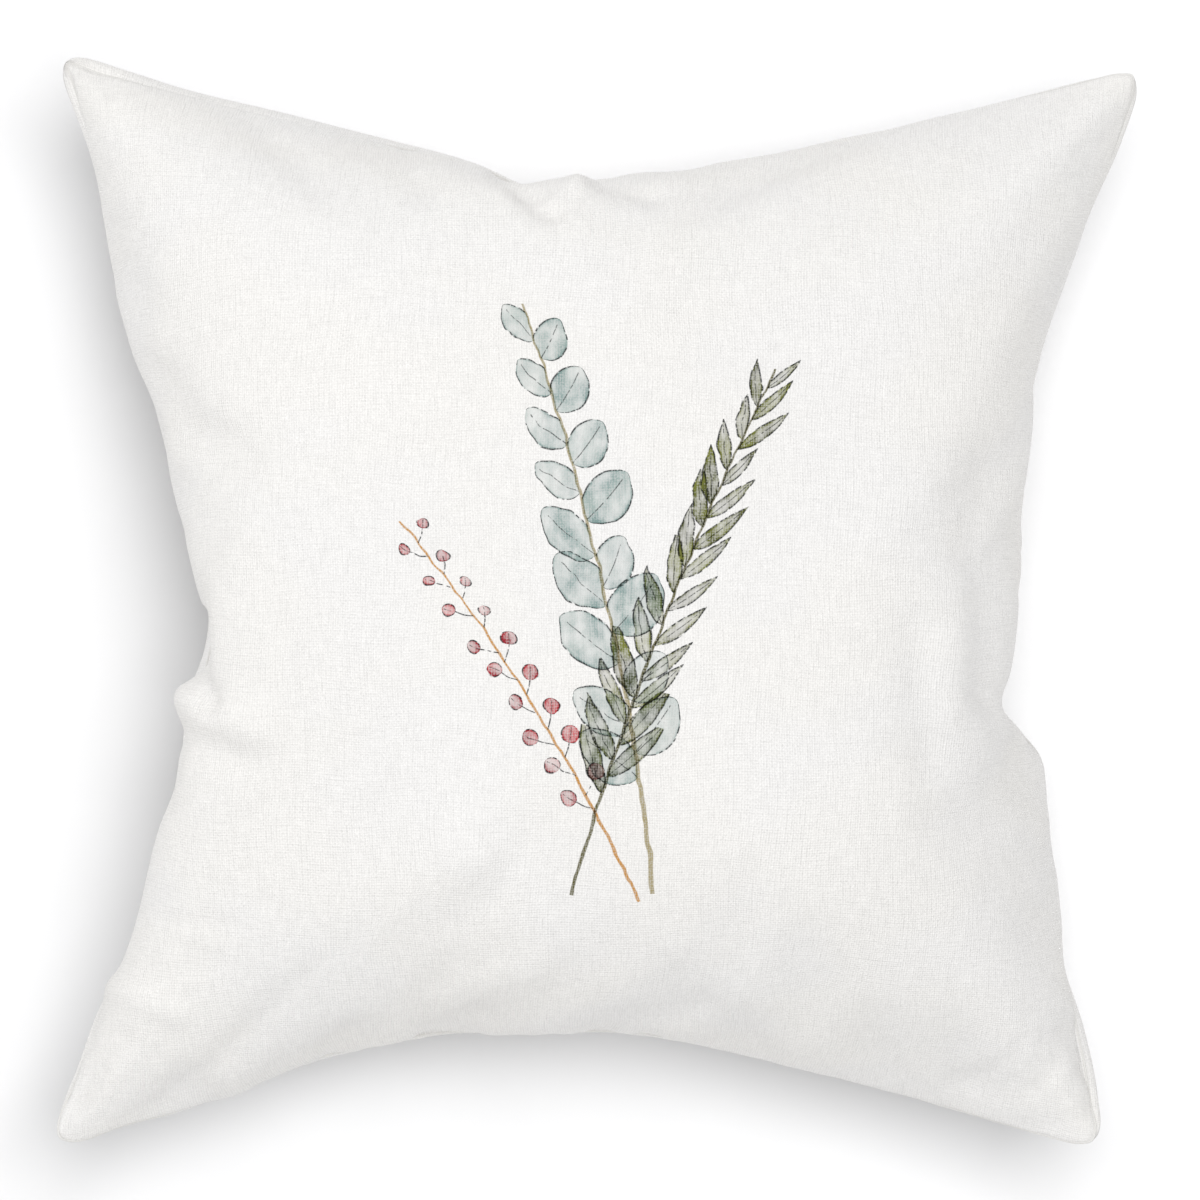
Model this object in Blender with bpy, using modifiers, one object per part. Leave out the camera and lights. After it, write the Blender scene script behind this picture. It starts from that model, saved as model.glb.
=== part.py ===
"""A plump square throw pillow of linen, lying on its back.

Two square panels are sewn to each other along their edges and stuffed, so the sides pull in between
four soft ears. Metres, +Z up. X runs to the right of the front panel and Y to its top. The origin is
on the floor under the pillow's middle, where the back panel rests.
"""

import math

import bmesh
import bpy
from mathutils import Vector

# Driving dimensions of the stuffed cover
SEAM_HEIGHT = 0.092
FRONT_CROWN = 0.112
BACK_CROWN = 0.097
LIP_THICKNESS = 0.003
EAR_ROUNDING = 0.022
EAR_LIFT = 0.012

# The four ears, as the tips that the rounding then cuts back
TOP_LEFT = Vector((-0.2465, 0.2480))
TOP_RIGHT = Vector((0.2475, 0.2415))
BOTTOM_LEFT = Vector((-0.2485, -0.2480))
BOTTOM_RIGHT = Vector((0.2290, -0.2480))

# Each side: its two ears, how far it pulls in, where along it that is deepest, and how round its two
# halves are (1 is a straight run, 2 a round one)
SIDES = {
    "top": (TOP_LEFT, TOP_RIGHT, 0.054, 0.47, 1.25, 1.3),
    "bottom": (BOTTOM_LEFT, BOTTOM_RIGHT, 0.057, 0.47, 1.4, 1.25),
    "left": (BOTTOM_LEFT, TOP_LEFT, 0.067, 0.48, 1.4, 1.1),
    "right": (BOTTOM_RIGHT, TOP_RIGHT, 0.050, 0.41, 0.9, 2.3),
}

# Puckers in the seam: the side, the place along it, how far it pulls in, and half its width
PUCKERS = [
    ("top", 0.44, 0.002, 0.014),
    ("bottom", 0.47, -0.004, 0.030),
    ("left", 0.33, 0.004, 0.012),
    ("left", 0.41, -0.005, 0.014),
    ("left", 0.89, 0.004, 0.028),
    ("right", 0.17, 0.004, 0.020),
    ("right", 0.34, -0.004, 0.022),
    ("right", 0.40, 0.010, 0.012),
    ("right", 0.92, -0.003, 0.020),
]

# Folds in the front panel: where each starts and ends, its depth, and half its width
FOLDS = [
    (Vector((-0.037, 0.190)), Vector((-0.022, 0.172)), 0.008, 0.010),
    (Vector((-0.181, 0.020)), Vector((-0.176, -0.040)), 0.006, 0.009),
    (Vector((0.184, -0.045)), Vector((0.166, -0.040)), 0.005, 0.010),
]

# How the surface rises from the seam: a smaller power makes a steeper side or ear, a smaller reach
# carries the ears' slope further in, and a higher bow makes a flatter middle
SIDE_POWER = 0.30
EAR_POWER = 0.54
EAR_REACH = 0.09
CROWN_BOW = 3.0

# The mesh: cells along a panel, and how much closer they lie near the seam (0 is even)
CELLS = 22
CLOSER_AT_SEAM = 0.9

# Linen
LINEN_COLOUR = (0.86, 0.85, 0.82, 1.0)
LINEN_ROUGHNESS = 0.9

NAME = "throw_pillow"


def clear_scene():
    """Removes what a new file starts with."""
    for thing in list(bpy.data.objects):
        bpy.data.objects.remove(thing, do_unlink=True)


def linen():
    """The cover's cloth."""
    material = bpy.data.materials.new("linen")
    material.use_nodes = True
    shader = material.node_tree.nodes["Principled BSDF"]
    shader.inputs["Base Color"].default_value = LINEN_COLOUR
    shader.inputs["Roughness"].default_value = LINEN_ROUGHNESS
    shader.inputs["Metallic"].default_value = 0.0
    return material


def pull_in(side, t):
    """How far a side lies inside the straight line between its ears, at the share t of its length."""
    start, end, depth, deepest, bow_before, bow_after = SIDES[side]
    if t < deepest:
        inward = depth * (1 - ((deepest - t) / deepest) ** bow_before)
    else:
        inward = depth * (1 - ((t - deepest) / (1 - deepest)) ** bow_after)
    length = (end - start).length
    for place_on, place, pucker, half_width in PUCKERS:
        if place_on == side:
            inward += pucker * math.exp(-(((t - place) * length / half_width) ** 2))
    return inward


def seam_point(side, t):
    """The seam seen from above, at the share t of one side."""
    start, end = SIDES[side][:2]
    along = end - start
    across = Vector((-along.y, along.x)).normalized()
    if across.dot(start + along / 2) > 0:
        across = -across
    return start + along * t + across * pull_in(side, t)


def plan(u, v):
    """The place seen from above of a point of the panel, from its shares u and v of the two widths."""
    rows = seam_point("bottom", u).lerp(seam_point("top", u), v)
    columns = seam_point("left", v).lerp(seam_point("right", v), u)
    corners = BOTTOM_LEFT.lerp(BOTTOM_RIGHT, u).lerp(TOP_LEFT.lerp(TOP_RIGHT, u), v)
    return rows + columns - corners


def eased(a):
    """A place on a panel from -1 to 1, moved so that the cells lie closer near the seam."""
    return (1 - CLOSER_AT_SEAM) * a + CLOSER_AT_SEAM * math.sin(a * math.pi / 2)


def rounded_ear(a, b):
    """Two places from -1 to 1, with the square corner between them turned into a round one."""
    share = EAR_ROUNDING / (TOP_RIGHT.x - TOP_LEFT.x) * 2
    c, d = ((abs(place) - 1 + share) / share for place in (a, b))
    if c <= 0 or d <= 0:
        return a, b
    round_c, round_d = c * math.sqrt(1 - d * d / 2), d * math.sqrt(1 - c * c / 2)
    return (
        math.copysign(1 - share + share * round_c, a),
        math.copysign(1 - share + share * round_d, b),
    )


def fold_depth(point):
    """How deep the front panel's folds press it in at a place seen from above."""
    depth = 0.0
    for start, end, deepest, half_width in FOLDS:
        run = end - start
        share = min(max((point - start).dot(run) / run.length_squared, 0.0), 1.0)
        away = (point - start - run * share).length
        depth += deepest * math.exp(-((away / half_width) ** 2))
    return depth


def surface_point(a, b, is_front):
    """A point of the front or back panel, from its places from -1 to 1 across and up the panel."""
    a, b = eased(a), eased(b)
    ear = (a * b) ** 2 * (1 + EAR_REACH) / ((a * b) ** 2 + EAR_REACH)
    power = SIDE_POWER + (EAR_POWER - SIDE_POWER) * ear
    rise = ((1 - min(abs(a), 1.0) ** CROWN_BOW) * (1 - min(abs(b), 1.0) ** CROWN_BOW)) ** power
    round_a, round_b = rounded_ear(a, b)
    spot = plan((round_a + 1) / 2, (round_b + 1) / 2)
    seam = SEAM_HEIGHT + EAR_LIFT * (a * b) ** 4
    if is_front:
        return Vector((spot.x, spot.y, seam + LIP_THICKNESS / 2 + FRONT_CROWN * rise - fold_depth(spot)))
    return Vector((spot.x, spot.y, max(seam - LIP_THICKNESS / 2 - BACK_CROWN * rise, 0.0)))


def two_panels():
    """Two flat square panels of cells, one above the other, with their edges joined."""
    bm = bmesh.new()
    bmesh.ops.create_grid(bm, x_segments=CELLS, y_segments=CELLS, size=1.0)
    everything = bm.verts[:] + bm.edges[:] + bm.faces[:]
    copied = bmesh.ops.duplicate(bm, geom=everything)["geom"]
    lower = [part for part in copied if isinstance(part, bmesh.types.BMVert)]
    bmesh.ops.translate(bm, verts=lower, vec=(0, 0, -1))
    rims = [edge for edge in bm.edges if edge.is_boundary]
    bmesh.ops.bridge_loops(bm, edges=rims)
    bmesh.ops.recalc_face_normals(bm, faces=bm.faces)
    return bm


def make_pillow(collection):
    """The whole pillow as one closed body: a coarse cage in its stuffed form, then subdivided."""
    bm = two_panels()
    for corner in bm.verts:
        corner.co = surface_point(corner.co.x, corner.co.y, corner.co.z > -0.5)
    mesh = bpy.data.meshes.new(NAME)
    bm.to_mesh(mesh)
    bm.free()
    mesh.shade_smooth()
    pillow = bpy.data.objects.new(NAME, mesh)
    collection.objects.link(pillow)
    rounding = pillow.modifiers.new("rounding", "SUBSURF")
    rounding.levels = 1
    rounding.render_levels = 1
    mesh.materials.append(linen())
    return pillow


clear_scene()
parts = bpy.data.collections.new("throw pillow")
bpy.context.scene.collection.children.link(parts)
make_pillow(parts)
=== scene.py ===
# %% [markdown]
# # A stuffed linen throw pillow
#
# A throw pillow cover is two square linen panels, laid face to face, sewn along their edges and turned
# out, with a soft insert pushed in. Stuffing makes the middle rise, and a panel that rises has less
# cloth left to reach the edge: the sides pull in, the four corners stay out as ears, and the spare
# cloth along the seam gathers into small folds.
#
# This lesson makes the pillow the way a sewer does. It cuts two flat panels, joins their rims, blows
# them up with Blender's cloth solver, turns the seam in and dyes the linen with nodes. The CAD model
# comes first, as a fixed frame that says where the pillow lies and how big it is.

# %% Load the frame
import math

import bpy
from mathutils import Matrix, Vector


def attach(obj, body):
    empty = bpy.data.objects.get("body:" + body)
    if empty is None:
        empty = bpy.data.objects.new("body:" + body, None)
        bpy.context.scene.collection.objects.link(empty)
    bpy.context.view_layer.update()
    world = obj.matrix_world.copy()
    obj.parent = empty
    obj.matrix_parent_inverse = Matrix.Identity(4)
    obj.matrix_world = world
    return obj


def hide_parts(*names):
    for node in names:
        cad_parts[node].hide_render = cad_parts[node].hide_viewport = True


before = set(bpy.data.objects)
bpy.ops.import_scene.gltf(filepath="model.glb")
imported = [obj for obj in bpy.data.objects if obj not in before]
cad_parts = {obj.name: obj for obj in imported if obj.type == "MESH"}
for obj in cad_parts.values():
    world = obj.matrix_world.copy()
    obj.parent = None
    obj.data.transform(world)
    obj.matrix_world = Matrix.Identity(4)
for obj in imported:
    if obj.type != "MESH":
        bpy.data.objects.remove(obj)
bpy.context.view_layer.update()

# %% [markdown]
# ## The camera
#
# The photograph looks straight down on the front panel. At the height of the seam one of its pixels
# is 0.45 mm, so the whole picture is 0.54 m wide there. A long lens from far above keeps the pillow's
# sides from splaying, as they would in a view from near by.

# %% Set up the camera
SEAM_HEIGHT = 0.092
PICTURE_WIDTH = 0.54
CAMERA_RISE = 2.6
SENSOR_WIDTH = 36.0
PICTURE_MIDDLE = (0.00045, -0.00022)

bpy.ops.object.select_all(action="DESELECT")
bpy.ops.object.camera_add(location=(*PICTURE_MIDDLE, SEAM_HEIGHT + CAMERA_RISE), rotation=(0, 0, 0))
camera = bpy.context.object
camera.name = "camera"
camera.data.sensor_width = SENSOR_WIDTH
camera.data.lens = SENSOR_WIDTH * CAMERA_RISE / PICTURE_WIDTH
camera.data.clip_end = 20.0
bpy.context.scene.camera = camera
print("lens", round(camera.data.lens, 1), "mm")

# %% [markdown]
# ## The studio
#
# White linen on a white floor only shows its form in soft light. A bright sky and a wide lamp overhead
# fill every fold, and a window at the upper left leaves the right side a little darker. A third lamp
# lights the floor alone, a little too brightly, so the paper is pure white up to the soft shadow at the
# pillow's left and lower sides. Blender's light linking says which lamp lights what.

# %% Add a floor
FLOOR_WHITE = (0.78, 0.78, 0.785, 1.0)

bpy.ops.object.select_all(action="DESELECT")
bpy.ops.mesh.primitive_plane_add(size=8.0, location=(0, 0, -0.0005))
floor = bpy.context.object
floor.name = "floor"
floor_paper = bpy.data.materials.new("floor paper")
floor_paper.use_nodes = True
paper_shader = floor_paper.node_tree.nodes["Principled BSDF"]
paper_shader.inputs["Base Color"].default_value = FLOOR_WHITE
paper_shader.inputs["Roughness"].default_value = 1.0
paper_shader.inputs["Specular IOR Level"].default_value = 0.0
floor.data.materials.append(floor_paper)
print("floor", tuple(round(x, 1) for x in floor.dimensions))

# %% Light it
SKY_STRENGTH = 0.63
MIDDLE = Vector((0.0, 0.0, 0.1))

lit_floor = bpy.data.collections.new("lit as floor")
lit_floor.objects.link(floor)
lit_pillow = bpy.data.collections.new("lit as pillow")


def add_soft_lamp(name, spot, size, watts, lights_only):
    """A square lamp that faces the pillow and lights one collection."""
    bpy.ops.object.select_all(action="DESELECT")
    bpy.ops.object.light_add(type="AREA", location=spot)
    lamp = bpy.context.object
    lamp.name = name
    lamp.data.size = size
    lamp.data.energy = watts
    lamp.rotation_euler = (MIDDLE - Vector(spot)).to_track_quat("-Z", "Y").to_euler()
    lamp.light_linking.receiver_collection = lights_only
    print(name, "at", spot, watts, "W")


sky = bpy.data.worlds.new("sky")
sky.use_nodes = True
sky.node_tree.nodes["Background"].inputs["Color"].default_value = (1.0, 1.0, 1.0, 1.0)
sky.node_tree.nodes["Background"].inputs["Strength"].default_value = SKY_STRENGTH
bpy.context.scene.world = sky
add_soft_lamp("window", (-1.7, 1.6, 2.0), 1.4, 12.5, lit_pillow)
add_soft_lamp("overhead lamp", (0.0, 0.0, 3.0), 3.0, 43.2, lit_pillow)
add_soft_lamp("floor lamp", (0.31, 0.36, 3.0), 1.35, 71.0, lit_floor)
bpy.context.scene.view_settings.view_transform = "Standard"

# %% [markdown]
# ## The outline of the seam
#
# Seen from above, the seam is the pillow's outline. Each side is a shallow curve between two ears. It is
# written as a depth, the place along the side where it lies deepest, and how round each half is. A few
# narrow puckers then push it in or out where the cloth has bunched.

# %% Write the ears and sides down
TOP_LEFT = Vector((-0.2465, 0.2480))
TOP_RIGHT = Vector((0.2475, 0.2415))
BOTTOM_LEFT = Vector((-0.2485, -0.2480))
BOTTOM_RIGHT = Vector((0.2290, -0.2480))
EAR_ROUNDING = 0.022
EAR_LIFT = 0.012

# Start, end, depth, place of the deepest point, roundness before and after it
SIDES = {
    "top": (TOP_LEFT, TOP_RIGHT, 0.054, 0.47, 1.25, 1.3),
    "bottom": (BOTTOM_LEFT, BOTTOM_RIGHT, 0.057, 0.47, 1.4, 1.25),
    "left": (BOTTOM_LEFT, TOP_LEFT, 0.067, 0.48, 1.4, 1.1),
    "right": (BOTTOM_RIGHT, TOP_RIGHT, 0.050, 0.41, 0.9, 2.3),
}

# Side, place along it, depth, half width
PUCKERS = [
    # Notches and bulges
    ("top", 0.44, 0.006, 0.016),
    ("bottom", 0.47, -0.004, 0.030),
    ("left", 0.33, 0.004, 0.012),
    ("left", 0.41, -0.005, 0.014),
    ("left", 0.89, 0.004, 0.028),
    ("right", 0.17, 0.004, 0.020),
    ("right", 0.34, -0.004, 0.022),
    ("right", 0.40, 0.010, 0.012),
    ("right", 0.92, -0.003, 0.020),
    # Fuller ears
    ("top", 0.045, -0.0017, 0.013),
    ("left", 0.035, -0.0019, 0.012),
    ("left", 0.125, -0.0022, 0.014),
    ("right", 0.110, -0.0012, 0.030),
    ("right", 0.965, -0.0013, 0.012),
    ("bottom", 0.045, -0.0013, 0.014),
    ("bottom", 0.118, -0.0010, 0.012),
    ("bottom", 0.910, -0.0014, 0.035),
]


def bumps(table, side, t):
    """The sum of a side's soft bumps in a table, at the share t of its length."""
    start, end = SIDES[side][:2]
    length = (end - start).length
    return sum(
        height * math.exp(-(((t - place) * length / half_width) ** 2))
        for on_side, place, height, half_width in table
        if on_side == side
    )


def straight_run(side):
    """The straight line between a side's ears: its start, its run, and the direction inward from it."""
    start, end = SIDES[side][:2]
    along = end - start
    inward = Vector((-along.y, along.x)).normalized()
    if inward.dot(start + along / 2) > 0:
        inward = -inward
    return start, along, inward


def pull_in(side, t):
    """How far a side lies inside the straight line between its ears, at the share t of its length."""
    depth, deepest, bow_before, bow_after = SIDES[side][2:]
    if t < deepest:
        inward = depth * (1 - ((deepest - t) / deepest) ** bow_before)
    else:
        inward = depth * (1 - ((t - deepest) / (1 - deepest)) ** bow_after)
    return inward + bumps(PUCKERS, side, t)


def seam_point(side, t):
    """The seam seen from above, at the share t of one side."""
    start, along, inward = straight_run(side)
    return start + along * t + inward * pull_in(side, t)


def plan(u, v):
    """The place of a point of the drawn-in panel, from its shares u and v of the flat one."""
    rows = seam_point("bottom", u).lerp(seam_point("top", u), v)
    columns = seam_point("left", v).lerp(seam_point("right", v), u)
    corners = BOTTOM_LEFT.lerp(BOTTOM_RIGHT, u).lerp(TOP_LEFT.lerp(TOP_RIGHT, u), v)
    return rows + columns - corners


def rounded_ear(a, b):
    """Two places from -1 to 1, with the square corner between them turned into a round one."""
    share = EAR_ROUNDING / (TOP_RIGHT.x - TOP_LEFT.x) * 2
    c, d = ((abs(place) - 1 + share) / share for place in (a, b))
    if c <= 0 or d <= 0:
        return a, b
    round_c, round_d = c * math.sqrt(1 - d * d / 2), d * math.sqrt(1 - c * c / 2)
    return (
        math.copysign(1 - share + share * round_c, a),
        math.copysign(1 - share + share * round_d, b),
    )


def at_ear(a, b):
    """1 at the tip of an ear, and soon 0 away from it."""
    return (a * b) ** 4


for side in SIDES:
    print("seam, middle of the", side, [round(x, 4) for x in seam_point(side, 0.5)])

# %% [markdown]
# ## Two flat panels
#
# The cover starts as it is cut: a square grid, 515 mm across, and a copy of it turned over for the
# back. Every cell of the grid is one little square of cloth, and its UV map says which. The map is
# made now, while the cloth is flat, so the weave and the print later follow each fold as real thread
# does. The rims are merged, and the ears are rounded as the sewn corner is.

# %% Cut the front and turn a copy over for the back
CLOTH_SIDE = 0.515
CELLS = 92
START_GAP = 0.012
GAP_OPENS_OVER = 0.2

bpy.ops.object.select_all(action="DESELECT")
bpy.ops.mesh.primitive_grid_add(x_subdivisions=CELLS, y_subdivisions=CELLS, size=2.0)
cover = bpy.context.object
cover.name = "cover"
cover.data.uv_layers[0].name = "OFBake"
for panel_name in ("front panel", "back panel"):
    cover.data.materials.append(bpy.data.materials.new(panel_name))
bpy.ops.object.mode_set(mode="EDIT")
bpy.ops.mesh.select_all(action="SELECT")
bpy.ops.mesh.duplicate()
bpy.ops.mesh.flip_normals()
cover.active_material_index = 1
bpy.ops.object.material_slot_assign()
bpy.ops.object.mode_set(mode="OBJECT")
print(len(cover.data.polygons), "cells of cloth,", round(CLOTH_SIDE / CELLS * 1000, 2), "mm each")

# %% Bring the rims together
# Each vertex gets a place across (a) and up (b) from -1 to 1, and a layer: 1 in front, -1 at the back
# and 0 on the seam
lower = set()
for face in cover.data.polygons:
    if face.material_index == 1:
        lower.update(face.vertices)
for vertex in cover.data.vertices:
    from_rim = min(1 - abs(vertex.co.x), 1 - abs(vertex.co.y))
    vertex.co.z = 0.0 if from_rim < 1e-4 else (-1.0 if vertex.index in lower else 1.0)
bpy.ops.object.mode_set(mode="EDIT")
bpy.ops.mesh.select_all(action="SELECT")
bpy.ops.mesh.remove_doubles(threshold=1e-5)
bpy.ops.object.mode_set(mode="OBJECT")
shares = [tuple(vertex.co) for vertex in cover.data.vertices]
rim = [index for index, (a, b, layer) in enumerate(shares) if abs(layer) < 0.5]
for vertex, (a, b, layer) in zip(cover.data.vertices, shares):
    from_rim = min(1 - abs(a), 1 - abs(b))
    round_a, round_b = rounded_ear(a, b)
    vertex.co = (
        round_a * CLOTH_SIDE / 2,
        round_b * CLOTH_SIDE / 2,
        SEAM_HEIGHT + layer * START_GAP * min(1.0, from_rim / GAP_OPENS_OVER),
    )
print(len(rim), "points on the seam")

# %% [markdown]
# ## Stuffing it
#
# The cloth solver blows the flat cover up, like an air bed, while the seam is drawn in to its outline.
# The seam's points are pinned, and a shape key carries them from the flat square to the outline over the
# first frames. What the panels do in between is left to the solver: it crowns them, stretches the cloth
# between the ears and gathers what is left over into folds along the seam. Linen hardly stretches, so
# its tension is high, and it creases softly, so its bending is moderate.

# %% Give the seam its drawn-in shape
DRAWN_BY = 25
LAST_FRAME = 55


def drawn_seam_point(a, b):
    """Where a point of the seam ends up, from its shares across and up the panel."""
    round_a, round_b = rounded_ear(a, b)
    spot = plan((round_a + 1) / 2, (round_b + 1) / 2)
    return Vector((spot.x, spot.y, SEAM_HEIGHT + EAR_LIFT * at_ear(a, b)))


cover.shape_key_add(name="flat")
drawn_in = cover.shape_key_add(name="drawn in")
for index, (a, b, layer) in enumerate(shares):
    drawn_in.data[index].co = drawn_seam_point(a, b)
drawn_in.value = 0.0
drawn_in.keyframe_insert("value", frame=1)
drawn_in.value = 1.0
drawn_in.keyframe_insert("value", frame=DRAWN_BY)
cover.vertex_groups.new(name="seam").add(rim, 1.0, "REPLACE")
print("the seam is drawn in by frame", DRAWN_BY)

# %% Blow the cover up
bpy.ops.object.select_all(action="DESELECT")
cover.select_set(True)
bpy.context.view_layer.objects.active = cover
cloth = cover.modifiers.new("Cloth", "CLOTH")
cloth.settings.quality = 6
cloth.settings.mass = 0.15
cloth.settings.tension_stiffness = 15.0
cloth.settings.compression_stiffness = 15.0
cloth.settings.shear_stiffness = 7.5
cloth.settings.bending_stiffness = 6.0
cloth.settings.tension_damping = 5.0
cloth.settings.compression_damping = 5.0
cloth.settings.shear_damping = 5.0
cloth.settings.bending_damping = 0.5
cloth.settings.air_damping = 2.0
cloth.settings.use_pressure = True
cloth.settings.uniform_pressure_force = 10.0
cloth.settings.vertex_group_mass = "seam"
cloth.settings.effector_weights.gravity = 0.0
cloth.collision_settings.use_collision = False
cloth.collision_settings.use_self_collision = False
cloth.point_cache.frame_start = 1
cloth.point_cache.frame_end = LAST_FRAME
for step in range(1, LAST_FRAME + 1):
    bpy.context.scene.frame_set(step)
bpy.ops.object.convert(target="MESH")
cover = bpy.context.object
for action in list(bpy.data.actions):
    bpy.data.actions.remove(action)
bpy.context.scene.frame_set(1)
heights = [vertex.co.z for vertex in cover.data.vertices]
print("stuffed from", round(min(heights), 4), "to", round(max(heights), 4))

# %% [markdown]
# ## Easing the sides
#
# Air pushes everywhere alike, so the solver's sides swell out over the seam. A fibre fill is firm in the
# middle and thin along the seam, and lets the sides stand straight. So the form is split in two, as a
# sculptor would: a smoothed copy holds the large shape, and the difference holds the folds. The large
# shape is drawn back to the outline, and the folds are laid on it again, softer than air would make them.

# %% Smooth a copy to find the large shape
SMOOTHING_ROUNDS = 26

neighbours = [[] for vertex in cover.data.vertices]
for edge in cover.data.edges:
    one, other = edge.vertices
    neighbours[one].append(other)
    neighbours[other].append(one)
held = set(rim)
swollen = [vertex.co.copy() for vertex in cover.data.vertices]
large = [point.copy() for point in swollen]
for turn in range(SMOOTHING_ROUNDS):
    pulled = []
    for index, point in enumerate(large):
        around = neighbours[index]
        pull = sum((large[near] for near in around), Vector()) * (0.5 / len(around))
        pulled.append(point if index in held else point * 0.5 + pull)
    large = pulled
folds = [point - smooth for point, smooth in zip(swollen, large)]
print("folds stand up to", round(max(fold.length for fold in folds) * 1000, 1), "mm off the large shape")

# %% Draw the large shape back to the outline
EASE_REACH = 0.012
STANDS_OUT = 0.0038
NUDGE_REACH = 0.06
FOLD_SHARE = 0.4
EAR_FADE = 1.5

# Side, place along it, distance inward, half width: where a side still stands out or lies back
NUDGES = [
    ("top", 0.28, -0.0012, 0.050),
    ("top", 0.38, -0.0026, 0.040),
    ("bottom", 0.45, -0.0038, 0.050),
    ("bottom", 0.70, -0.0025, 0.080),
    ("bottom", 0.14, -0.0030, 0.030),
    ("left", 0.20, 0.0030, 0.030),
    ("left", 0.45, 0.0035, 0.060),
    ("left", 0.76, -0.0040, 0.035),
    ("right", 0.30, -0.0040, 0.050),
    ("right", 0.375, -0.0055, 0.018),
    ("right", 0.43, 0.0010, 0.012),
    ("right", 0.53, -0.0027, 0.035),
    ("right", 0.73, 0.0042, 0.035),
]


def eased_back(spot):
    """How far a point of the large shape is drawn back towards the outline, seen from above."""
    shift = Vector((0.0, 0.0))
    for side in SIDES:
        start, along, inward = straight_run(side)
        t = (spot - start).dot(along) / along.length_squared
        if not 0.0 < t < 1.0:
            continue
        outside = pull_in(side, t) - (spot - start).dot(inward)
        from_ears = (4 * t * (1 - t)) ** EAR_FADE
        reach, most = EASE_REACH * from_ears, (EASE_REACH + STANDS_OUT) * from_ears
        if outside > -reach:
            shift += inward * (outside + reach - most * (1 - math.exp(-(outside + reach) / most)))
        if outside > -NUDGE_REACH:
            shift += inward * bumps(NUDGES, side, t) * min(1.0, 1 + outside / NUDGE_REACH) ** 2
    return shift


furthest = 0.0
for vertex, smooth, fold in zip(cover.data.vertices, large, folds):
    shift = eased_back(smooth.xy)
    furthest = max(furthest, shift.length)
    vertex.co = smooth + fold * FOLD_SHARE + Vector((shift.x, shift.y, 0.0))
print("the sides are drawn back by up to", round(furthest * 1000, 1), "mm")

# %% [markdown]
# ## Resting
#
# A stuffed pillow is heavy enough to flatten where it lies, so the lowest part of the back is settled on
# the floor. Its ears are too thin to weigh anything, and curl up a little.

# %% Settle the back on the floor
REST_BLEND = 0.003
BACK_FULLNESS = 1.09


def settled(z):
    """A height pressed flat onto the floor, with a soft edge to the flat spot."""
    if z < -REST_BLEND:
        return 0.0
    if z < REST_BLEND:
        return (z + REST_BLEND) ** 2 / (4 * REST_BLEND)
    return z


for vertex in cover.data.vertices:
    if vertex.co.z < SEAM_HEIGHT:
        vertex.co.z = settled(SEAM_HEIGHT - (SEAM_HEIGHT - vertex.co.z) * BACK_FULLNESS)
print(sum(vertex.co.z < 1e-6 for vertex in cover.data.vertices), "points lie on the floor")

# %% Curl the ears up
EAR_CURL = 0.021

for vertex, (a, b, layer) in zip(cover.data.vertices, shares):
    vertex.co.z += EAR_CURL * at_ear(a, b)
print("the ears curl up by", EAR_CURL * 1000, "mm")

# %% [markdown]
# ## Rolling the seam
#
# A sewn seam never runs along the very edge all the way. Round the ears the cover has rolled over a
# little, so the seam lies on the front and a strip of the back panel shows beside it. The form stays as
# it is and only the cloth slides over it: each point takes the place of the one a few millimetres
# further along its row or column.

# %% Write down where it rolls
# Side, place along it, how far the seam lies up on the front, half width
ROLLS = [
    ("top", 0.08, 0.0110, 0.050),
    ("top", 0.445, 0.0070, 0.016),
    ("top", 0.95, 0.0020, 0.030),
    ("left", 0.91, 0.0105, 0.055),
    ("left", 0.46, 0.0095, 0.022),
    ("left", 0.37, 0.0070, 0.014),
    ("left", 0.125, 0.0120, 0.036),
    ("right", 0.88, 0.0065, 0.070),
    ("right", 0.11, 0.0085, 0.060),
]
ROLL_REACH = 7

grid = {}
for vertex, (a, b, layer) in zip(cover.data.vertices, shares):
    column, row = round((a + 1) / 2 * CELLS), round((b + 1) / 2 * CELLS)
    for panel in (1, -1) if abs(layer) < 0.5 else (round(layer),):
        grid[column, row, panel] = vertex.co.copy()


def on_panel(column, row, panel):
    """The place of a point between four points of the grid."""
    left, low = min(int(column), CELLS - 1), min(int(row), CELLS - 1)
    right_share, up_share = column - left, row - low
    below = grid[left, low, panel].lerp(grid[left + 1, low, panel], right_share)
    above = grid[left, low + 1, panel].lerp(grid[left + 1, low + 1, panel], right_share)
    return below.lerp(above, up_share)


def slide(low_side, high_side, t, step):
    """How many cells the cloth slides along a row or column, at one step of it."""
    near_low = max(0.0, 1 - step / ROLL_REACH) ** 2 * bumps(ROLLS, low_side, t)
    near_high = max(0.0, 1 - (CELLS - step) / ROLL_REACH) ** 2 * bumps(ROLLS, high_side, t)
    return (near_low - near_high) / (CLOTH_SIDE / CELLS)


# %% Slide the cloth over the form
for vertex, (a, b, layer) in zip(cover.data.vertices, shares):
    column, row = (a + 1) / 2 * CELLS, (b + 1) / 2 * CELLS
    across = slide("left", "right", row / CELLS, column)
    up = slide("bottom", "top", column / CELLS, row)
    panel = -1 if layer < -0.5 else 1
    column, row = column + panel * across, row + panel * up
    if not (0 <= column <= CELLS and 0 <= row <= CELLS):
        panel = 1
        column, row = (CELLS - abs(CELLS - abs(place)) for place in (column, row))
    vertex.co = on_panel(column, row, panel)
print("the seam rolls in by up to", max(depth for side, spot, depth, width in ROLLS) * 1000, "mm")

# %% [markdown]
# ## The seam
#
# The panels are sewn with their allowance inside, so outside the seam is only a thin shaded line where
# two soft lips meet. To model it, each panel gets a narrow strip of faces along its rim with Inset, and
# the rim itself is drawn a little way into the pillow.

# %% Turn the seam in
LIP_WIDTH = 0.0020
SEAM_DEPTH = 0.0016

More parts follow.
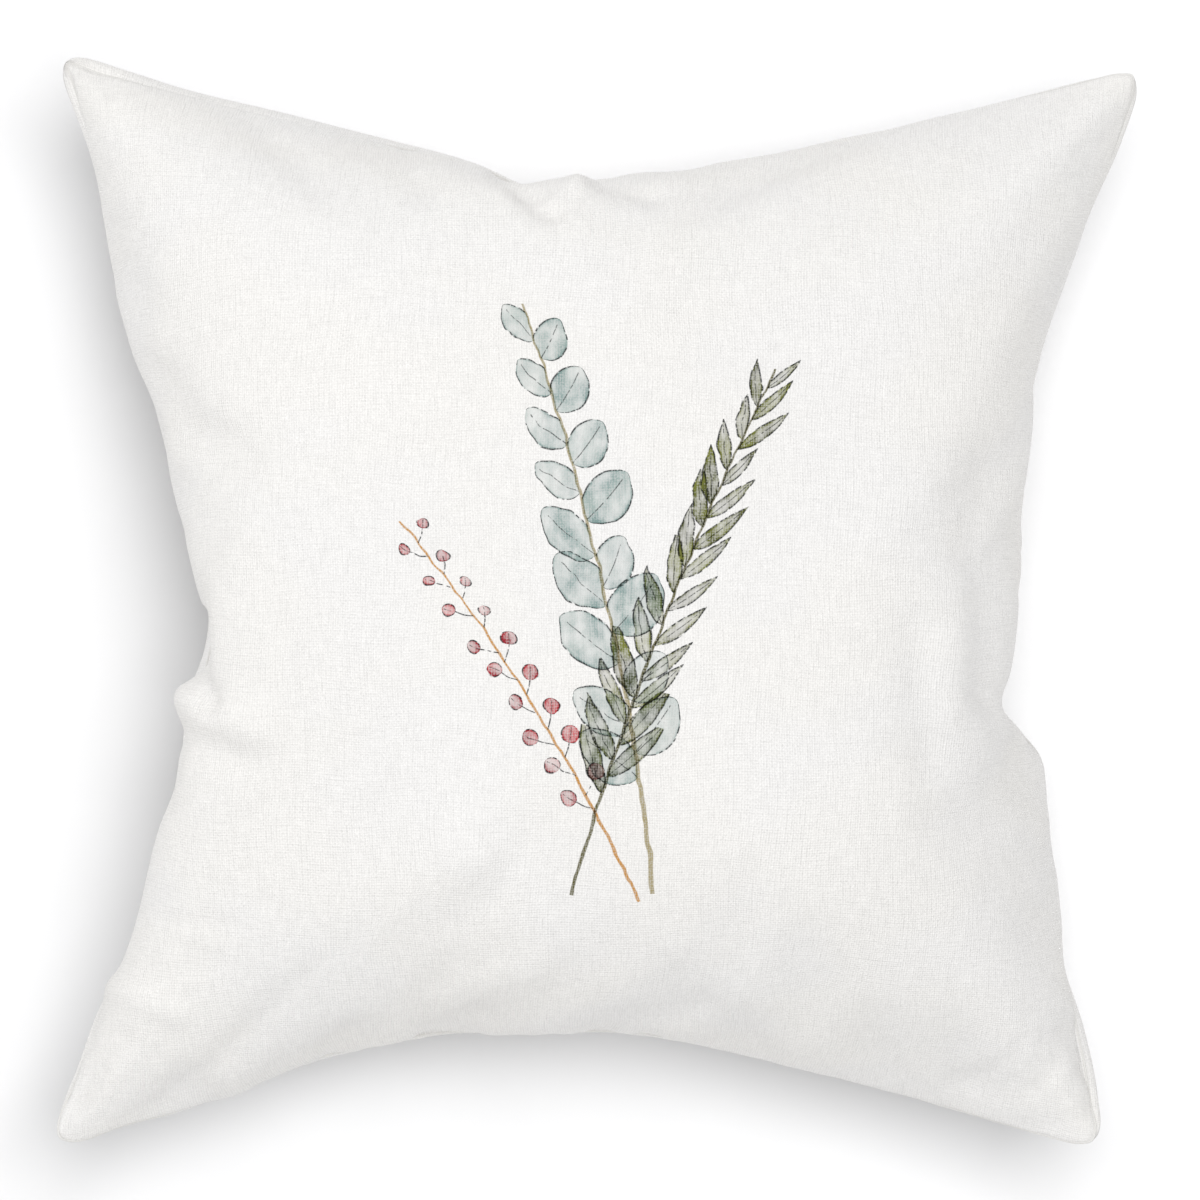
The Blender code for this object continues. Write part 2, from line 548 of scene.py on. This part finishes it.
bpy.ops.object.mode_set(mode="EDIT")
for slot in (0, 1):
    bpy.ops.mesh.select_all(action="DESELECT")
    cover.active_material_index = slot
    bpy.ops.object.material_slot_select()
    bpy.ops.mesh.inset(thickness=LIP_WIDTH, depth=0.0)
bpy.ops.object.mode_set(mode="OBJECT")
touching = {0: set(), 1: set()}
for face in cover.data.polygons:
    touching[face.material_index].update(face.vertices)
seam_points = touching[0] & touching[1]
cover.data.update()
normals = [Vector(normal.vector) for normal in cover.data.vertex_normals]
for index in seam_points:
    cover.data.vertices[index].co -= normals[index] * SEAM_DEPTH
print(len(seam_points), "points of the seam drawn in by", SEAM_DEPTH * 1000, "mm")

# %% Part the panels and smooth them
bpy.ops.object.select_all(action="DESELECT")
cover.select_set(True)
bpy.ops.object.mode_set(mode="EDIT")
bpy.ops.mesh.select_all(action="SELECT")
bpy.ops.mesh.separate(type="MATERIAL")
bpy.ops.object.mode_set(mode="OBJECT")
panels = {}
for panel in list(bpy.context.selected_objects):
    name = panel.material_slots[panel.data.polygons[0].material_index].name
    panels[name] = panel
front_panel, back_panel = panels["front panel"], panels["back panel"]
front_panel.name, back_panel.name = "front_panel", "back_panel"
for panel in (front_panel, back_panel):
    bpy.ops.object.select_all(action="DESELECT")
    panel.select_set(True)
    bpy.context.view_layer.objects.active = panel
    rounding = panel.modifiers.new("rounding", "SUBSURF")
    rounding.levels = rounding.render_levels = 1
    bpy.ops.object.modifier_apply(modifier=rounding.name)
    bpy.ops.object.shade_smooth()
    print(panel.name, len(panel.data.polygons), "faces", len(panel.data.materials), "finish")

# %% Sew the seam's thread
THREAD_THICKNESS = 0.0011

bpy.ops.object.select_all(action="DESELECT")
front_panel.select_set(True)
bpy.context.view_layer.objects.active = front_panel
bpy.ops.object.mode_set(mode="EDIT")
bpy.ops.mesh.select_mode(type="EDGE")
bpy.ops.mesh.select_all(action="DESELECT")
bpy.ops.mesh.select_non_manifold()
bpy.ops.mesh.duplicate()
bpy.ops.mesh.separate(type="SELECTED")
bpy.ops.object.mode_set(mode="OBJECT")
seam = [thing for thing in bpy.context.selected_objects if thing is not front_panel][0]
seam.name = "seam"
bpy.ops.object.select_all(action="DESELECT")
seam.select_set(True)
bpy.context.view_layer.objects.active = seam
bpy.ops.object.convert(target="CURVE")
seam.data.bevel_depth = THREAD_THICKNESS / 2
seam.data.bevel_resolution = 2
bpy.ops.object.convert(target="MESH")
bpy.ops.object.shade_smooth()
print("seam", len(seam.data.polygons), "faces")

# %% [markdown]
# ## Creases
#
# The folds that give this pillow its character are pressed into the smooth front one by one. Each is a
# short line with a depth and a width, and the cloth near it sinks as it does under a fingertip. One with
# a depth below nothing is a ridge.

# %% Write the creases down
# Places along the line from above, depth and half width, all in metres
CREASES = [
    # The tuck in the top
    (((-0.045, 0.188), (-0.031, 0.182), (-0.016, 0.177)), 0.0040, 0.0050),
    (((-0.033, 0.180), (-0.027, 0.173), (-0.021, 0.170)), 0.0045, 0.0050),
    (((-0.019, 0.176), (-0.009, 0.182)), -0.0050, 0.0045),
    (((0.001, 0.186), (0.013, 0.182), (0.024, 0.178)), 0.0045, 0.0060),
    (((-0.088, 0.199), (-0.080, 0.184)), 0.0020, 0.0090),
    # The left side
    (((-0.194, 0.113), (-0.177, 0.091), (-0.160, 0.080)), -0.0026, 0.0100),
    (((-0.189, 0.095), (-0.176, 0.077), (-0.159, 0.072)), 0.0027, 0.0120),
    (((-0.178, -0.010), (-0.176, -0.034), (-0.169, -0.045)), 0.0065, 0.0052),
    (((-0.183, -0.042), (-0.170, -0.050), (-0.149, -0.057)), -0.0048, 0.0090),
    (((-0.182, -0.060), (-0.170, -0.064), (-0.160, -0.068)), 0.0022, 0.0080),
    (((-0.192, -0.141), (-0.162, -0.143)), 0.0009, 0.0040),
    (((-0.186, -0.153), (-0.168, -0.158)), 0.0008, 0.0040),
    (((-0.199, -0.165), (-0.175, -0.162)), 0.0009, 0.0040),
    # The right side
    (((0.174, -0.042), (0.178, -0.052), (0.186, -0.068)), 0.0045, 0.0075),
    (((0.171, 0.057), (0.163, 0.018), (0.158, 0.000)), 0.0034, 0.0110),
    (((0.159, 0.004), (0.156, -0.045)), -0.0037, 0.0100),
    (((0.172, 0.013), (0.168, -0.040)), 0.0040, 0.0110),
    (((0.137, -0.014), (0.145, -0.071)), 0.0024, 0.0100),
    # The lower left, where a slack fold is filled again
    (((-0.167, -0.207), (-0.126, -0.170), (-0.091, -0.140), (-0.060, -0.112)), -0.0070, 0.0135),
    # The bottom
    (((-0.122, -0.201), (-0.111, -0.192)), 0.0028, 0.0060),
    (((-0.079, -0.194), (-0.066, -0.189), (-0.052, -0.184)), 0.0038, 0.0060),
    (((0.001, -0.193), (0.015, -0.185)), 0.0026, 0.0065),
    (((0.025, -0.189), (0.046, -0.180)), 0.0036, 0.0085),
    (((-0.074, -0.176), (-0.059, -0.169), (-0.028, -0.162)), -0.0016, 0.0080),
    # The lower ears
    (((0.206, -0.191), (0.204, -0.206), (0.194, -0.217)), 0.0024, 0.0045),
    (((0.198, -0.195), (0.196, -0.205), (0.184, -0.214)), 0.0020, 0.0045),
    (((0.188, -0.196), (0.184, -0.204), (0.170, -0.212)), 0.0016, 0.0045),
    (((0.160, -0.215), (0.182, -0.221), (0.201, -0.223)), 0.0018, 0.0060),
    (((0.213, -0.194), (0.217, -0.211)), 0.0026, 0.0052),
    (((-0.230, -0.224), (-0.221, -0.208), (-0.211, -0.195)), 0.0028, 0.0060),
    (((-0.216, -0.173), (-0.199, -0.178), (-0.186, -0.183)), -0.0024, 0.0060),
]


# %% Press them in
def crease_depth(spot):
    """How deep the creases press the front panel in at a place seen from above."""
    depth = 0.0
    for line, deepest, half_width in CREASES:
        nearest = 1.0
        for start, end in zip(line, line[1:]):
            start, run = Vector(start), Vector(end) - Vector(start)
            share = min(max((spot - start).dot(run) / run.length_squared, 0.0), 1.0)
            nearest = min(nearest, (spot - start - run * share).length)
        depth += deepest * math.exp(-((nearest / half_width) ** 2))
    return depth


borders = {}
for face in front_panel.data.polygons:
    for key in face.edge_keys:
        borders[key] = borders.get(key, 0) + 1
boundary = {index for key, faces in borders.items() if faces == 1 for index in key}
normals = [Vector(normal.vector) for normal in front_panel.data.vertex_normals]
for vertex, normal in zip(front_panel.data.vertices, normals):
    if vertex.index not in boundary:
        vertex.co -= normal * crease_depth(vertex.co.xy)
print(len(CREASES), "creases pressed into", len(normals) - len(boundary), "points")

# %% [markdown]
# ## Sums written as nodes
#
# Linen is a pattern of threads, and a printed leaf is a shape. Both are sums on the two numbers that say
# where a point lies on the flat cloth, and Blender works such sums out in Math nodes. Adding them one by
# one makes long code, so a small class stands for the output of a node. Adding or multiplying two of
# them adds the node, and the code reads like the sum.

# %% A number at every point of the cloth
class Field:
    """The output of a node, with sums that add further nodes to the same tree."""

    def __init__(self, tree, socket):
        self.tree = tree
        self.socket = socket

    def step(self, operation, *values):
        """A Math node fed with these values, each a Field or a plain number."""
        node = self.tree.nodes.new("ShaderNodeMath")
        node.operation = operation
        for socket, value in zip(node.inputs, values):
            if isinstance(value, Field):
                self.tree.links.new(value.socket, socket)
            else:
                socket.default_value = value
        return Field(self.tree, node.outputs["Value"])

    def __add__(self, other):
        return self.step("ADD", self, other)

    def __radd__(self, other):
        return self.step("ADD", other, self)

    def __sub__(self, other):
        return self.step("SUBTRACT", self, other)

    def __rsub__(self, other):
        return self.step("SUBTRACT", other, self)

    def __mul__(self, other):
        return self.step("MULTIPLY", self, other)

    def __truediv__(self, other):
        return self.step("DIVIDE", self, other)

    def __pow__(self, other):
        return self.step("POWER", self, other)

    def __abs__(self):
        return self.step("ABSOLUTE", self)

    def sine(self):
        return self.step("SINE", self)

    def cosine(self):
        return self.step("COSINE", self)

    def whole(self):
        return self.step("FLOOR", self)

    def above(self, edge):
        """1 where the field is above the edge, and 0 elsewhere."""
        return self.step("GREATER_THAN", self, edge)

    def at_least(self, least):
        return self.step("MAXIMUM", self, least)

    def at_most(self, most):
        return self.step("MINIMUM", self, most)

    def rise(self, start, end, low=0.0, high=1.0):
        """A soft step from low to high, between two values of the field."""
        node = self.tree.nodes.new("ShaderNodeMapRange")
        node.interpolation_type = "SMOOTHSTEP"
        self.tree.links.new(self.socket, node.inputs["Value"])
        for name, value in zip(("From Min", "From Max", "To Min", "To Max"), (start, end, low, high)):
            node.inputs[name].default_value = value
        return Field(self.tree, node.outputs["Result"])


# %% Vectors, noise and colours from such numbers
# How far apart two seeds lie in the noise, so that their spots never match
SEED_ACROSS = 17.3
SEED_UP = 9.1

# The sockets of a Mix node that takes colours
MIX_SHARE, MIX_ONE, MIX_OTHER, MIX_COLOUR = 0, 6, 7, 2


def place(x, y, z=0.0):
    """A vector from two or three fields."""
    node = x.tree.nodes.new("ShaderNodeCombineXYZ")
    for socket, value in zip(node.inputs, (x, y, z)):
        if isinstance(value, Field):
            x.tree.links.new(value.socket, socket)
        else:
            socket.default_value = value
    return node.outputs["Vector"]


def cloudiness(x, y, wide, tall, seed, detail=1.0):
    """Soft noise from 0 to 1 whose spots are so wide and so tall, in metres."""
    node = x.tree.nodes.new("ShaderNodeTexNoise")
    node.noise_dimensions = "2D"
    node.inputs["Scale"].default_value = 1.0
    node.inputs["Detail"].default_value = detail
    spot = place(x * (1 / wide) + seed * SEED_ACROSS, y * (1 / tall) + seed * SEED_UP)
    x.tree.links.new(spot, node.inputs["Vector"])
    return Field(x.tree, node.outputs["Fac"])


def mixed(tree, share, one, other, blend="MIX"):
    """A colour made of two others, each a socket or a plain colour."""
    node = tree.nodes.new("ShaderNodeMix")
    node.data_type = "RGBA"
    node.blend_type = blend
    for number, value in ((MIX_SHARE, share), (MIX_ONE, one), (MIX_OTHER, other)):
        if isinstance(value, Field):
            value = value.socket
        if isinstance(value, bpy.types.NodeSocket):
            tree.links.new(value, node.inputs[number])
        else:
            node.inputs[number].default_value = value
    return node.outputs[MIX_COLOUR]


def new_cloth(name):
    """A material, and the two places of a point on the flat cloth, in metres from its middle."""
    material = bpy.data.materials.new(name)
    material.use_nodes = True
    tree = material.node_tree
    on_cloth = tree.nodes.new("ShaderNodeUVMap")
    on_cloth.uv_map = "OFBake"
    parts = tree.nodes.new("ShaderNodeSeparateXYZ")
    tree.links.new(on_cloth.outputs["UV"], parts.inputs["Vector"])
    x = (Field(tree, parts.outputs["X"]) - 0.5) * CLOTH_SIDE
    y = (Field(tree, parts.outputs["Y"]) - 0.5) * CLOTH_SIDE
    return material, x, y


# %% [markdown]
# ## The weave
#
# Linen is woven over one, under one. Flax spins unevenly, so each thread is now thicker and now thinner,
# runs a little off its line, and swells here and there into a slub, a bright dash one thread wide. A
# sine gives the even ridges, and painted light and shade on them, and noise that is one thread wide and
# many threads long gives each its own fullness. Warp and weft are the same recipe, turned by a quarter.

# %% Spin the threads
THREAD_PITCH = 0.00112
TURN = 2 * math.pi

# How a thread strays from its line: how fast across and along the cloth, and how far
SWAY_ACROSS, SWAY_ALONG, SWAY = 61.0, 23.0, 0.0011
WAVER_ACROSS, WAVER_ALONG, WAVER = 19.0, 97.0, 0.0006

# How wide and how long a thread's full stretches and its slubs are, and how soft a slub's edge
FULLNESS_SIZE = (THREAD_PITCH * 0.9, 0.009)
SLUB_SIZE = (THREAD_PITCH * 1.1, 0.0075)
SLUB_EDGE = 0.08


def threads(across, along, seed):
    """Threads side by side, never quite straight: their ridges, and how full each one is."""
    sway = (across * SWAY_ACROSS + along * SWAY_ALONG + seed).sine() * SWAY
    waver = (across * WAVER_ACROSS - along * WAVER_ALONG + seed).sine() * WAVER
    spot = across + sway + waver
    ridge = (spot * (TURN / THREAD_PITCH)).sine()
    fullness = cloudiness(spot, along, *FULLNESS_SIZE, seed) - 0.5
    return ridge, fullness


def slubs(across, along, seed, rarity):
    """Short thick stretches of single threads."""
    return cloudiness(across, along, *SLUB_SIZE, seed).rise(rarity, rarity + SLUB_EDGE)


# %% Weave them
# What warp, weft and their crossings add to the tone as painted light and shade, and to the height in
# metres
RIDGE_PAINTED_SHADING = (0.034, 0.022, 0.012)
RIDGE_HEIGHTS = (0.00006, 0.00005, 0.00004)

# The same for the fullness of warp and weft
FULLNESS_TONES = (0.10, 0.08)
FULLNESS_HEIGHTS = (0.00030, 0.00024)

# Slubs of warp and weft, and the grain of single fibres
SLUB_RARITY = (0.715, 0.735)
SLUB_TONES = (0.055, 0.050)
GRAIN_SIZE = 0.0008
GRAIN_TONE = 0.24


def woven(x, y):
    """The cloth's tone, about 0, with painted light and shade on the threads' ridges, and its height, in
    metres.
    """
    warp, warp_fullness = threads(x, y, seed=1.0)
    weft, weft_fullness = threads(y, x, seed=6.0)
    over = (x * (math.pi / THREAD_PITCH)).sine() * (y * (math.pi / THREAD_PITCH)).sine()
    grain = cloudiness(x, y, GRAIN_SIZE, GRAIN_SIZE, seed=13.0) - 0.5
    warp_slubs = slubs(x, y, seed=11.0, rarity=SLUB_RARITY[0])
    weft_slubs = slubs(y, x, seed=12.0, rarity=SLUB_RARITY[1])

    # The ridges' tone is painted light and shade of the threads' relief: crowns lighter, grooves between
    # threads darker
    ridges = warp * RIDGE_PAINTED_SHADING[0] + weft * RIDGE_PAINTED_SHADING[1] + over * RIDGE_PAINTED_SHADING[2]
    fullness = warp_fullness * FULLNESS_TONES[0] + weft_fullness * FULLNESS_TONES[1]
    lumps = warp_slubs * SLUB_TONES[0] + weft_slubs * SLUB_TONES[1]
    tone = ridges + fullness + lumps + grain * GRAIN_TONE

    relief = warp * RIDGE_HEIGHTS[0] + weft * RIDGE_HEIGHTS[1] + over * RIDGE_HEIGHTS[2]
    swelling = warp_fullness * FULLNESS_HEIGHTS[0] + weft_fullness * FULLNESS_HEIGHTS[1]
    return tone, relief + swelling


# %% [markdown]
# ## Off-white linen
#
# The cloth is bleached but not blue-white: it leans to cream in some patches and to grey in others, so
# faintly that one only sees it beside white paper. Linen has no shine of its own, but its loose fibres
# catch light at a glancing angle, which a little sheen gives.

# %% Bleach the cloth
LINEN_CREAM = (0.862, 0.849, 0.828, 1.0)
LINEN_GREY = (0.853, 0.843, 0.831, 1.0)
PATCH_SIZE = (0.09, 0.07)
PATCH_TONE = 0.018
BRIGHTEST = 1.12


def linen_colour(x, y, tone):
    """The colour of the bare cloth."""
    patches = cloudiness(x, y, *PATCH_SIZE, seed=21.0, detail=2.0)
    shade = (1.0 + tone + (patches - 0.5) * PATCH_TONE).at_most(BRIGHTEST)
    bleached = mixed(x.tree, patches.rise(0.35, 0.65), LINEN_CREAM, LINEN_GREY)
    return mixed(x.tree, 1.0, bleached, place(shade, shade, shade), "MULTIPLY")


def finish_cloth(material, colour, height):
    """Joins colour and height to the material's shader, with the feel of dry linen."""
    tree = material.node_tree
    shader = tree.nodes["Principled BSDF"]
    bump = tree.nodes.new("ShaderNodeBump")
    bump.inputs["Strength"].default_value = 0.8
    bump.inputs["Distance"].default_value = 1.0
    tree.links.new(height.socket, bump.inputs["Height"])
    tree.links.new(bump.outputs["Normal"], shader.inputs["Normal"])
    tree.links.new(colour, shader.inputs["Base Color"])
    shader.inputs["Roughness"].default_value = 0.92
    shader.inputs["Specular IOR Level"].default_value = 0.25
    shader.inputs["Sheen Weight"].default_value = 0.12
    shader.inputs["Sheen Roughness"].default_value = 0.45
    shader.inputs["Sheen Tint"].default_value = (1.0, 0.99, 0.97, 1.0)


plain_linen, x, y = new_cloth("plain linen")
tone, height = woven(x, y)
finish_cloth(plain_linen, linen_colour(x, y, tone), height)
print("plain linen has", len(plain_linen.node_tree.nodes), "nodes")

# %% [markdown]
# ## Sprigs for the print
#
# The front carries a small print in thin paint and broken ink, a few stems gathered at their feet. A
# shader has no brush, so each stem is a sum. First the cloth is measured from the stem: how far along
# it, and how far to its side. Counting steps along the stem gives every leaf a number, and noise on that
# number gives each its own size, angle and tone. What is left is one leaf's shape, which the count
# repeats.

# %% Measure the cloth from a stem
# How far the hand shakes, and how long each shake is
SHAKE = 0.0022
SHAKE_LENGTH = 0.010


def from_stem(x, y, kind):
    """A point's place along a bowed stem and across it, in metres, and a little shake of the hand."""
    right, up = x - kind["foot"][0], y - kind["foot"][1]
    lean = kind["lean"]
    shake = (cloudiness(x, y, SHAKE_LENGTH, SHAKE_LENGTH, kind["seed"]) - 0.5) * SHAKE
    along = right * math.sin(lean) + up * math.cos(lean) + shake
    share = along / kind["length"]
    across = right * math.cos(lean) - up * math.sin(lean) - share * share * kind["bow"] + shake
    return along, across, shake


# %% Draw one leaf for every step along it
# How far chance changes a leaf's place, in steps, its size, its angle and its paint
PLACE_DRAW, SIZE_DRAW, ANGLE_DRAW, PAINT_DRAW = 0.25, 0.30, 0.35, 0.35

# The size of the first leaf, and how much of its size and spread is lost up to the last one
FIRST_SIZE, SIZE_LOST, SPREAD_LOST = 1.08, 0.55, 0.35

# How far the rib bends, as a share of the leaf's length, and where the ink of the rib ends on it
RIB_BEND = 0.10
RIB_START, RIB_END = 0.02, 0.88

# Half widths of the ink's lines, in metres: where it is full and where it ends
OUTLINE_INK = (0.00018, 0.00050)
RIB_INK = (0.0001, 0.00035)
STALK_INK = (0.00015, 0.0004)


def leaf(along, across, shake, kind, steps_back):
    """Paint and ink of the leaf whose step is the one at this point, or so many steps before it."""
    tree, length, stalk = along.tree, kind["length"], kind["stalk"]
    pitch, first = kind["pitch"], kind["first"]
    blade, half_width = kind["leaf"]
    on_right, out = across.above(0.0), abs(across)
    number = ((along - first) / pitch + on_right * 0.5 + 0.25).whole() - steps_back
    chance = tree.nodes.new("ShaderNodeTexWhiteNoise")
    chance.noise_dimensions = "2D"
    tree.links.new(place(number, on_right * 7.0 + kind["seed"] * 3.1), chance.inputs["Vector"])
    draws = tree.nodes.new("ShaderNodeSeparateColor")
    tree.links.new(chance.outputs["Color"], draws.inputs["Color"])
    one, two, three = (Field(tree, draws.outputs[name]) for name in ("Red", "Green", "Blue"))

    base = (number - on_right * 0.5) * pitch + first + (one - 0.5) * (pitch * PLACE_DRAW)
    size = (base * (-SIZE_LOST / length) + FIRST_SIZE) * (two * SIZE_DRAW + (1 - SIZE_DRAW / 2))
    angle = kind["spread"] - base * (kind["spread"] * SPREAD_LOST / length)
    angle = angle + (three - 0.5) * ANGLE_DRAW
    up, cosine, sine = along - base, angle.cosine(), angle.sine()
    on_blade = (up * cosine + out * sine - stalk) / (size * blade)
    off_rib = out * cosine - up * sine + on_blade * on_blade * (size * (blade * RIB_BEND))

    near_foot, near_tip = kind["roundness"]
    widest = near_foot / (near_foot + near_tip)
    swell = half_width / (widest**near_foot * (1 - widest) ** near_tip)
    inner = on_blade.at_least(0.0).at_most(1.0)
    inside = (inner**near_foot) * ((1.0 - inner) ** near_tip) * (size * swell)
    inside = inside - abs(off_rib) - abs(on_blade - inner) * blade
    grows = base.above(first - 0.25 * pitch) * (length * 0.97 - base).above(0.0)

    rim = inside.rise(0.0, 0.0016, 0.45, 0.0)
    paint = inside.rise(-0.0002, 0.0005) * grows * (two * PAINT_DRAW + 0.5 + rim - inner * 0.18)
    outline = abs(inside + shake * 0.25 - 0.0001).rise(*OUTLINE_INK, 1.0, 0.0)
    rib = abs(off_rib).rise(*RIB_INK, 0.8, 0.0)
    rib = rib * on_blade.above(RIB_START) * (RIB_END - on_blade).above(0.0)
    ink = outline.at_least(rib) * grows * (inside + 0.0012).above(0.0)
    if stalk:
        on_stalk = (0.0 - on_blade).above(0.0) * (on_blade * (size * blade) + stalk).above(0.0)
        ink = ink.at_least(abs(off_rib).rise(*STALK_INK, 1.0, 0.0) * on_stalk * grows)
    return paint, ink


# %% Gather leaves and stem into a sprig
# How much of a leaf a crossing one hides, and how much thinner a stem gets up to its tip
LEAF_HIDES = 0.45
STEM_LOST = 0.6


def sprig(x, y, kind):
    """The paint, ink and twig of one stem, each from 0, bare, to 1."""
    along, across, shake = from_stem(x, y, kind)
    here, here_ink = leaf(along, across, shake, kind, 0)
    below, below_ink = leaf(along, across, shake, kind, 1)
    paint = here + below * (1.0 - here * LEAF_HIDES)
    share = along / kind["length"]
    half_width = kind["stem"] - share * (STEM_LOST * kind["stem"])
    twig = (abs(across) - half_width).rise(-0.0001, 0.0004, 1.0, 0.0)
    return paint, here_ink.at_least(below_ink), twig * share.above(0.0) * (1.0 - share).above(0.0)


# %% [markdown]
# ## The print
#
# Three sprigs cross at their feet: round blue-green leaves, slender grey-green ones, and red berries on
# an amber twig. Thin paint darkens what lies under it, as tinted film does, so every layer is
# multiplied. It pools in clouds, ink skips on the rough cloth, and both sink in less where a thread
# stands up.

# %% Describe the three sprigs
SPRIGS = [
    {  # round leaves
        "foot": (0.030, -0.128), "lean": -0.12, "length": 0.262, "bow": -0.030, "seed": 2.0,
        "leaf": (0.034, 0.0115), "pitch": 0.0245, "first": 0.052, "spread": 1.05,
        "roundness": (0.55, 0.62), "stalk": 0.0, "stem": 0.0009,
        "pale": (0.42, 0.52, 0.50, 1.0), "deep": (0.24, 0.36, 0.35, 1.0),
        "wood": (0.42, 0.36, 0.20, 1.0),
    },
    {  # berries
        "foot": (0.024, -0.132), "lean": -0.44, "length": 0.195, "bow": -0.026, "seed": 9.0,
        "leaf": (0.0078, 0.0039), "pitch": 0.0160, "first": 0.045, "spread": 0.85,
        "roundness": (0.5, 0.5), "stalk": 0.0085, "stem": 0.0006,
        "pale": (0.58, 0.045, 0.060, 1.0), "deep": (0.36, 0.020, 0.035, 1.0),
        "wood": (0.62, 0.30, 0.06, 1.0),
    },
    {  # slender leaves
        "foot": (-0.006, -0.130), "lean": 0.25, "length": 0.246, "bow": 0.026, "seed": 5.0,
        "leaf": (0.036, 0.0042), "pitch": 0.0150, "first": 0.048, "spread": 0.72,
        "roundness": (0.7, 1.0), "stalk": 0.0, "stem": 0.0007,
        "pale": (0.210, 0.230, 0.045, 1.0), "deep": (0.085, 0.095, 0.020, 1.0),
        "wood": (0.12, 0.11, 0.03, 1.0),
    },
]

# %% Print them on the linen
INK = (0.055, 0.060, 0.065, 1.0)
INK_STRENGTH = 0.9
TWIG_STRENGTH = 0.85

printed_linen, x, y = new_cloth("printed linen")
tone, height = woven(x, y)
colour = linen_colour(x, y, tone)
pooling = cloudiness(x, y, 0.007, 0.012, seed=31.0, detail=3.0).rise(0.25, 0.75, 0.45, 1.2)
skipping = cloudiness(x, y, 0.0022, 0.0022, seed=32.0).rise(0.32, 0.46)
clouding = cloudiness(x, y, 0.012, 0.012, seed=40.0).rise(0.3, 0.7)
sinks_in = (tone * 4.0 + 1.0).at_least(0.5).at_most(1.25)
for kind in SPRIGS:
    paint, ink, twig = sprig(x, y, kind)
    pigment = mixed(x.tree, clouding, kind["pale"], kind["deep"])
    for strength, layer in (
        (twig * sinks_in * TWIG_STRENGTH, kind["wood"]),
        (paint * pooling * sinks_in, pigment),
        (ink * skipping * sinks_in * INK_STRENGTH, INK),
    ):
        colour = mixed(x.tree, strength.at_most(1.0), colour, layer, "MULTIPLY")
finish_cloth(printed_linen, colour, height)
print("printed linen has", len(printed_linen.node_tree.nodes), "nodes")

# %% [markdown]
# ## Dressing the pieces
#
# The print's many nodes cost time at every point where they are worked out, so only the faces in the
# print's field wear them. All the rest of the cloth wears plain linen, which is the same recipe without
# the sprigs, and no edge shows between the two. The seam's thread has no place on the flat cloth, so its
# fine twist is noise on Object coordinates.

# %% Dress the panels
PRINT_FIELD = ((-0.108, 0.110), (-0.142, 0.155))

for panel in (front_panel, back_panel):
    panel.data.materials.clear()
    panel.data.materials.append(plain_linen)
    panel.data.polygons.foreach_set("material_index", [0] * len(panel.data.polygons))
front_panel.data.materials.append(printed_linen)
flat_places = front_panel.data.uv_layers["OFBake"].uv
printed_faces = 0
for face in front_panel.data.polygons:
    corners = [flat_places[loop].vector for loop in face.loop_indices]
    middle = [sum(corner[axis] for corner in corners) / len(corners) for axis in (0, 1)]
    on_cloth = [(share - 0.5) * CLOTH_SIDE for share in middle]
    if all(low < spot < high for spot, (low, high) in zip(on_cloth, PRINT_FIELD)):
        face.material_index = 1
        printed_faces += 1
print(printed_faces, "faces wear the print")

# %% Dress the seam
# The thread is darker than the cloth as painted shade of the seam's groove, and its twist mixes strands
# of painted shade with paler ones
THREAD_SHADED = (0.72, 0.71, 0.685, 1.0)
THREAD_PALE = (0.82, 0.812, 0.79, 1.0)
TWISTS = 900.0

seam_thread = bpy.data.materials.new("seam thread")
seam_thread.use_nodes = True
tree = seam_thread.node_tree
spot = tree.nodes.new("ShaderNodeTexCoord")
twist = tree.nodes.new("ShaderNodeTexNoise")
twist.inputs["Scale"].default_value = TWISTS
twist.inputs["Detail"].default_value = 1.0
tree.links.new(spot.outputs["Object"], twist.inputs["Vector"])
strands = Field(tree, twist.outputs["Fac"])
bump = tree.nodes.new("ShaderNodeBump")
bump.inputs["Distance"].default_value = 0.0004
tree.links.new(strands.socket, bump.inputs["Height"])
shader = tree.nodes["Principled BSDF"]
tree.links.new(bump.outputs["Normal"], shader.inputs["Normal"])
tree.links.new(mixed(tree, strands, THREAD_SHADED, THREAD_PALE), shader.inputs["Base Color"])
shader.inputs["Roughness"].default_value = 0.9
seam.data.materials.clear()
seam.data.materials.append(seam_thread)
print("seam wears", seam.data.materials[0].name)

# %% [markdown]
# ## Handing over
#
# Each piece rides on the pillow's one body and stands for the plain CAD pillow, which stays behind for
# collisions.

# %% Hand the pieces over
for piece in (front_panel, back_panel, seam):
    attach(piece, "root")
    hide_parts("throw_pillow")
    lit_pillow.objects.link(piece)
